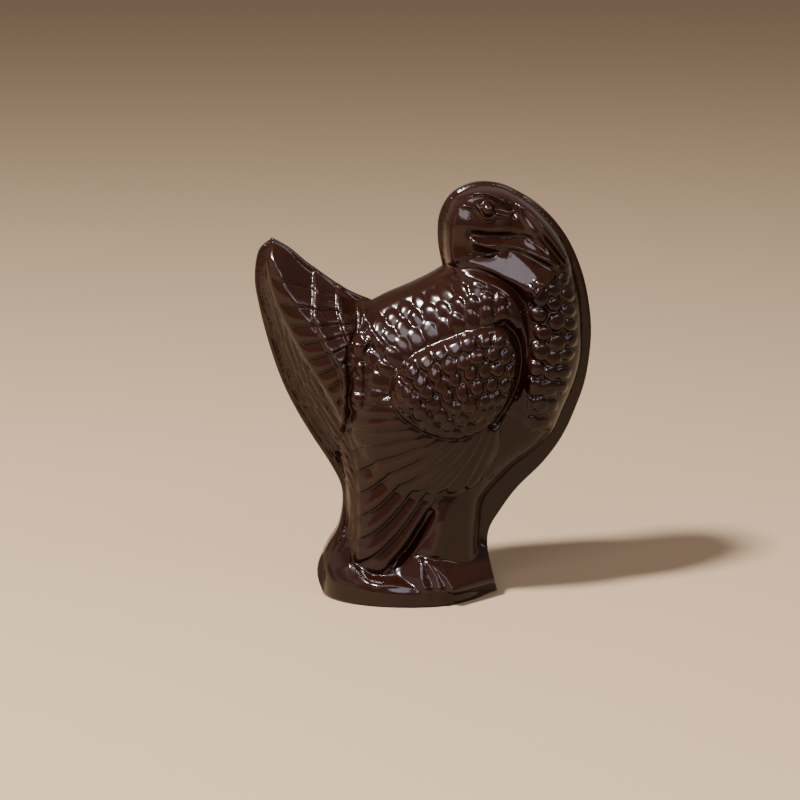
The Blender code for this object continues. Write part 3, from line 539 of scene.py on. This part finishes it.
def figure(x, z, flange, root):
    """The rounded mass of body and head, the body's dome, the tail's root, shoulder and neck."""
    low = np.clip((60 - z) / 50, 0, 1)
    head = np.clip((z - 101) / 7, 0, 1)
    edge = inside(x, z, smooth_loop(MASS, 1.5))
    back = step_up(5 - x, 20) * np.clip((z - 76) / 12, 0, 1)
    depth = BODY_RISE + 1.8 * step_up(x - 33, 6) - 0.3 * head
    side = (1 - back) * pillow(edge, 13 - 2 * low, 2.0) + 1.55 * back * pillow(edge + 0.8, 26, 1.6)
    at_root = step_up(z - 60, 8) * step_up(87 - z, 10) * np.clip((15 - root) / 11, 0, 1)
    side = np.maximum(side, at_root * pillow(root + 1, 3.0))
    plateau = 0.76 * pillow(edge, 2.8, 2.2) + 0.24 * pillow(edge, 11, 2.0)
    mass = flange + depth * ((1 - head) * side + head * plateau)
    in_body = inside(x, z, smooth_loop(BODY, 1.5))
    tilt = np.clip(0.14 * (x - 2) + 0.14 * (96 - z), 0, 3) * np.clip((z - 44) / 20, 0, 1)
    dome = BODY_DOME * (1 - 0.2 * low) * pillow(in_body, 17, 1.35) + tilt * pillow(in_body, 8)
    body = mass + (1 - back) * dome
    body += stroke(x, z, TAIL_ROOT, 0.9, 1.6, (4, 8))
    body += stroke(x, z, NECK_VALLEY, 0.7, -0.9, (1, 10))
    body += shelf(x, z, SHOULDER, 5.0, 1.3, 1.9, (28, 6))
    return body + patch(x, z, NECK, 1.6) * (neck_roll(x, z) - body)


def plumage(x, z, root, ahead):
    """What lies on the body: scales, the wing with the groove before it, feathers and bumps."""
    wing = inside(x, z, smooth_loop(WING_RIDGE[:-1] + WING_FRONT[:-1] + WING_FOOT[:-1], 1.5))
    above_flank = np.where(x < -10.6, step_up(ahead_of(x, z, FLANK_TOP) - 0.3, 1.2), z > 66)
    inner_side = step_up(-ahead_of(x, z, SHOULDER) - 1.2, 1.6)
    scaly = step_up(-wing - 0.4, 0.8) * above_flank * inner_side * step_up(root - 0.5, 1.5)
    h = body_scales(x, z) * scaly
    h += WING_STEP * step_up(wing - 0.2, 1.6) + WING_DOME * pillow(wing, 13)
    h += wing_scales(x, z) * step_up(wing - 0.9, 1.2)
    front, _, _ = from_line(x, z, smooth_line(WING_FRONT, 1.5))
    h -= 2.4 * crest(front - 1.4, 1.3) * (wing < 0)
    h += flight_feathers(x, z, wing, ahead)
    h += breast_bumps(x, z) * step_up(x - 31.5, 2.0) * step_up(104 - z, 3)
    return h


def height(x, z):
    """Relief height of every point: the flat rim, with tail, figure, base and foot on it."""
    rim = inside(x, z, outline(1.2))
    flange = FLANGE * (0.5 + 0.5 * np.sqrt(np.clip(rim / 0.9, 0, 1)))
    tail, ahead, fine = tail_relief(x, z, rim)
    root = ahead_of(x, z, TAIL_ROOT)
    tail -= 1.5 * np.clip(root + 1.0, 0, 4) * np.clip((z - 56) / 8, 0, 1)
    h = np.where(root > 3, flange, np.maximum(flange, tail))
    body = figure(x, z, flange, root) + plumage(x, z, root, ahead) + leg(x, z) + head_relief(x, z)
    h = blend_max(h, body, 0.8)
    h = blend_max(h, base_relief(x, z), np.interp(x, [-26, -17, 6, 16], [4, 1.4, 1.4, 4]))
    fold = shelf(x, z, LEDGE, 0.9, 1.6, 1.0, (3, 1)) + stroke(x, z, LEDGE_FOOT, 0.6, 0.6, (3, 1))
    return np.maximum(h + fold + fine, foot(x, z))


SPACING = 0.48               # between the points that the relief is worked out at
FACE_SPACING = 0.30          # the same, round the eye and mouth
FACE = (20.0, 118.5, 12.5)   # middle and radius of that finer area

# The chocolate: its darker and lighter tone, its skin's depths in metres, and each noise's
# scale and detail.
DARK = (0.0074, 0.0018, 0.0008)
LIGHT = (0.0110, 0.0030, 0.0014)
REFRACTION = 1.35
ROUGHNESS = (0.14, 0.21)
PIT_SCALE = 260
PIT_DEPTH = 0.00012
WAVE_DEPTH = 0.0004
TONE_NOISE = (45, 5)
GLOSS_NOISE = (140, 6)
WAVE_NOISE = (320, 3)

# The camera, in millimetres and radians.
DISTANCE = 900.0             # from the turkey
PITCH = math.radians(12.2)
YAW = math.radians(4.63)
AIM_HEIGHT = 61.7
SIDESTEP = 6.5
SENSOR = 36.0
FOCAL = 3.61                 # lens length over the sensor's width
CLIP = (0.05, 20.0)          # nearest and farthest distance shown, in metres

# The floor's half side in metres, its colour and roughness, and the plain light from all round.
FLOOR_REACH = 8.0
FLOOR_COLOUR = (0.30, 0.212, 0.126, 1)
FLOOR_ROUGHNESS = 0.7
SKY_COLOUR = (1.0, 0.84, 0.72, 1)
SKY_STRENGTH = 0.32

# Lamps in metres: name, place, height of the point they aim at, size, watts and colour.
LAMPS = [
    ("key", (-0.585, -0.428, 1.10), 0.06, (0.18, 0.18), 68, (1, 0.97, 0.97)),
    ("soft", (-0.25, -0.82, 0.78), 0.07, (0.5, 0.5), 5, (0.92, 0.88, 1)),
    ("strip", (0.60, -0.66, 0.80), 0.07, (0.9, 0.25), 5, (0.92, 0.90, 1)),
    ("side", (-1.15, -0.30, 0.32), 0.06, (0.9, 0.7), 1.3, (0.86, 0.84, 1)),
]


def grid(low, high, spacing):
    """Points in staggered rows over a rectangle."""
    row = spacing * math.sqrt(3) / 2
    rows = []
    for j, z in enumerate(np.arange(low[1] + row / 2, high[1], row)):
        x = np.arange(low[0] + spacing * (0.25 + 0.5 * (j % 2)), high[0], spacing)
        rows.append(np.stack([x, np.full(x.shape, z)], 1))
    return np.concatenate(rows)


def half_mesh():
    """One half's points and triangles in the side plane, the outline's points first."""
    loop = outline(SPACING)
    low, high = loop.min(axis=0), loop.max(axis=0)
    coarse, fine = grid(low, high, SPACING), grid(low, high, FACE_SPACING)
    coarse = coarse[np.hypot(coarse[:, 0] - FACE[0], coarse[:, 1] - FACE[1]) > FACE[2] + 0.2]
    fine = fine[np.hypot(fine[:, 0] - FACE[0], fine[:, 1] - FACE[1]) < FACE[2]]
    points = np.concatenate([coarse, fine])
    keep = inside(points[:, 0], points[:, 1], outline(1.5)) > 0.5 * SPACING
    plane = np.concatenate([loop, points[keep]])
    edges = [(i, (i + 1) % len(loop)) for i in range(len(loop))]
    places, _, faces, _, _, _ = delaunay_2d_cdt([tuple(p) for p in plane], edges, [], 1, 1e-4)
    return np.array([tuple(p) for p in places]), [tuple(f) for f in faces], len(loop)


def closed_body(plane, faces, rim_count, h):
    """Both halves and the strip round their edge as one closed mesh, in metres."""
    middle = 0.5 * (plane[:, 0].min() + plane[:, 0].max())
    mesh = bmesh.new()
    near = [mesh.verts.new(((x - middle) * MM, -y * MM, z * MM)) for (x, z), y in zip(plane, h)]
    far = [mesh.verts.new(((x - middle) * MM, y * MM, z * MM)) for (x, z), y in zip(plane, h)]
    for face in faces:
        mesh.faces.new([near[i] for i in face])
        mesh.faces.new([far[i] for i in reversed(face)])
    for i in range(rim_count):
        j = (i + 1) % rim_count
        mesh.faces.new([near[j], near[i], far[i], far[j]])
    bmesh.ops.recalc_face_normals(mesh, faces=mesh.faces)
    return mesh


def chocolate():
    """Glossy dark chocolate: uneven gloss, faint bloom and a slightly wavy, finely pitted skin."""
    material = bpy.data.materials.new("dark_chocolate")
    material.use_nodes = True
    tree = material.node_tree
    shader = tree.nodes["Principled BSDF"]
    coords = tree.nodes.new("ShaderNodeTexCoord")

    def noise(scale, detail):
        """A noise value from 0 to 1."""
        node = tree.nodes.new("ShaderNodeTexNoise")
        node.inputs["Scale"].default_value = scale
        node.inputs["Detail"].default_value = detail
        tree.links.new(coords.outputs["Object"], node.inputs["Vector"])
        return node.outputs["Fac"]

    def spread(value, given, wanted):
        """The value, moved from the given range to the wanted one."""
        node = tree.nodes.new("ShaderNodeMapRange")
        for name, number in zip(("From Min", "From Max", "To Min", "To Max"), (*given, *wanted)):
            node.inputs[name].default_value = number
        tree.links.new(value, node.inputs["Value"])
        return node.outputs["Result"]

    def bump(value, strength, depth):
        """A bump node on the value."""
        node = tree.nodes.new("ShaderNodeBump")
        node.inputs["Strength"].default_value = strength
        node.inputs["Distance"].default_value = depth
        tree.links.new(value, node.inputs["Height"])
        return node

    ramp = tree.nodes.new("ShaderNodeValToRGB")
    for element, place, colour in zip(ramp.color_ramp.elements, (0.3, 0.7), (DARK, LIGHT)):
        element.position = place
        element.color = (*colour, 1)
    tree.links.new(noise(*TONE_NOISE), ramp.inputs["Fac"])
    tree.links.new(ramp.outputs["Color"], shader.inputs["Base Color"])
    gloss = spread(noise(*GLOSS_NOISE), (0.3, 0.7), ROUGHNESS)
    tree.links.new(gloss, shader.inputs["Roughness"])
    pits = tree.nodes.new("ShaderNodeTexVoronoi")
    pits.inputs["Scale"].default_value = PIT_SCALE
    tree.links.new(coords.outputs["Object"], pits.inputs["Vector"])
    pitted = bump(spread(pits.outputs["Distance"], (0.04, 0.12), (0, 1)), 0.35, PIT_DEPTH)
    wavy = bump(noise(*WAVE_NOISE), 0.15, WAVE_DEPTH)
    tree.links.new(pitted.outputs["Normal"], wavy.inputs["Normal"])
    tree.links.new(wavy.outputs["Normal"], shader.inputs["Normal"])
    shader.inputs["IOR"].default_value = REFRACTION
    return material


def build_turkey():
    """The whole turkey as one closed, smooth piece."""
    plane, faces, rim_count = half_mesh()
    h = height(plane[:, 0], plane[:, 1])
    body = closed_body(plane, faces, rim_count, h)
    mesh = bpy.data.meshes.new("turkey_shell")
    body.to_mesh(mesh)
    body.free()
    mesh.shade_smooth()
    turkey = bpy.data.objects.new("turkey_shell", mesh)
    bpy.context.scene.collection.objects.link(turkey)
    turkey.data.materials.append(chocolate())
    return turkey


def add_floor():
    """A wide, plain, matt floor."""
    r = FLOOR_REACH
    mesh = bpy.data.meshes.new("floor")
    mesh.from_pydata([(-r, -r, 0), (r, -r, 0), (r, r, 0), (-r, r, 0)], [], [(0, 1, 2, 3)])
    floor = bpy.data.objects.new("floor", mesh)
    bpy.context.scene.collection.objects.link(floor)
    material = bpy.data.materials.new("floor")
    material.use_nodes = True
    shader = material.node_tree.nodes["Principled BSDF"]
    shader.inputs["Base Color"].default_value = FLOOR_COLOUR
    shader.inputs["Roughness"].default_value = FLOOR_ROUGHNESS
    mesh.materials.append(material)


def add_lamp(name, place, aim, size, watts, colour):
    """A soft oval lamp, aimed at a point straight above the origin."""
    light = bpy.data.lights.new(name, "AREA")
    light.shape = "ELLIPSE"
    light.size, light.size_y = size
    light.energy = watts
    light.color = colour
    lamp = bpy.data.objects.new(name, light)
    lamp.location = place
    lamp.rotation_euler = (Vector((0, 0, aim)) - Vector(place)).to_track_quat("-Z", "Y").to_euler()
    bpy.context.scene.collection.objects.link(lamp)


def add_sky():
    """Weak, even light from all round."""
    world = bpy.context.scene.world or bpy.data.worlds.new("world")
    bpy.context.scene.world = world
    world.use_nodes = True
    background = world.node_tree.nodes["Background"]
    background.inputs["Color"].default_value = SKY_COLOUR
    background.inputs["Strength"].default_value = SKY_STRENGTH


def add_camera():
    """The camera, turned by YAW about the turkey's foot and tipped down by PITCH."""
    x = outline(1.0)[:, 0]
    middle = 0.5 * (x.min() + x.max())
    data = bpy.data.cameras.new("camera")
    data.sensor_width = SENSOR
    data.lens = SENSOR * FOCAL
    data.clip_start, data.clip_end = CLIP
    camera = bpy.data.objects.new("camera", data)
    c, s = math.cos(YAW), math.sin(YAW)
    away = -DISTANCE * math.cos(PITCH)
    across = -c * SIDESTEP + s * away - middle
    along = s * SIDESTEP + c * away
    up = AIM_HEIGHT + DISTANCE * math.sin(PITCH)
    camera.location = (across * MM, along * MM, up * MM)
    camera.rotation_euler = (math.pi / 2 - PITCH, 0, -YAW)
    bpy.context.scene.collection.objects.link(camera)
    bpy.context.scene.camera = camera


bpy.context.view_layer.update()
turkey = build_turkey()
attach(turkey, "root")
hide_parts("turkey")
add_floor()
for lamp in LAMPS:
    add_lamp(*lamp)
add_sky()
add_camera()
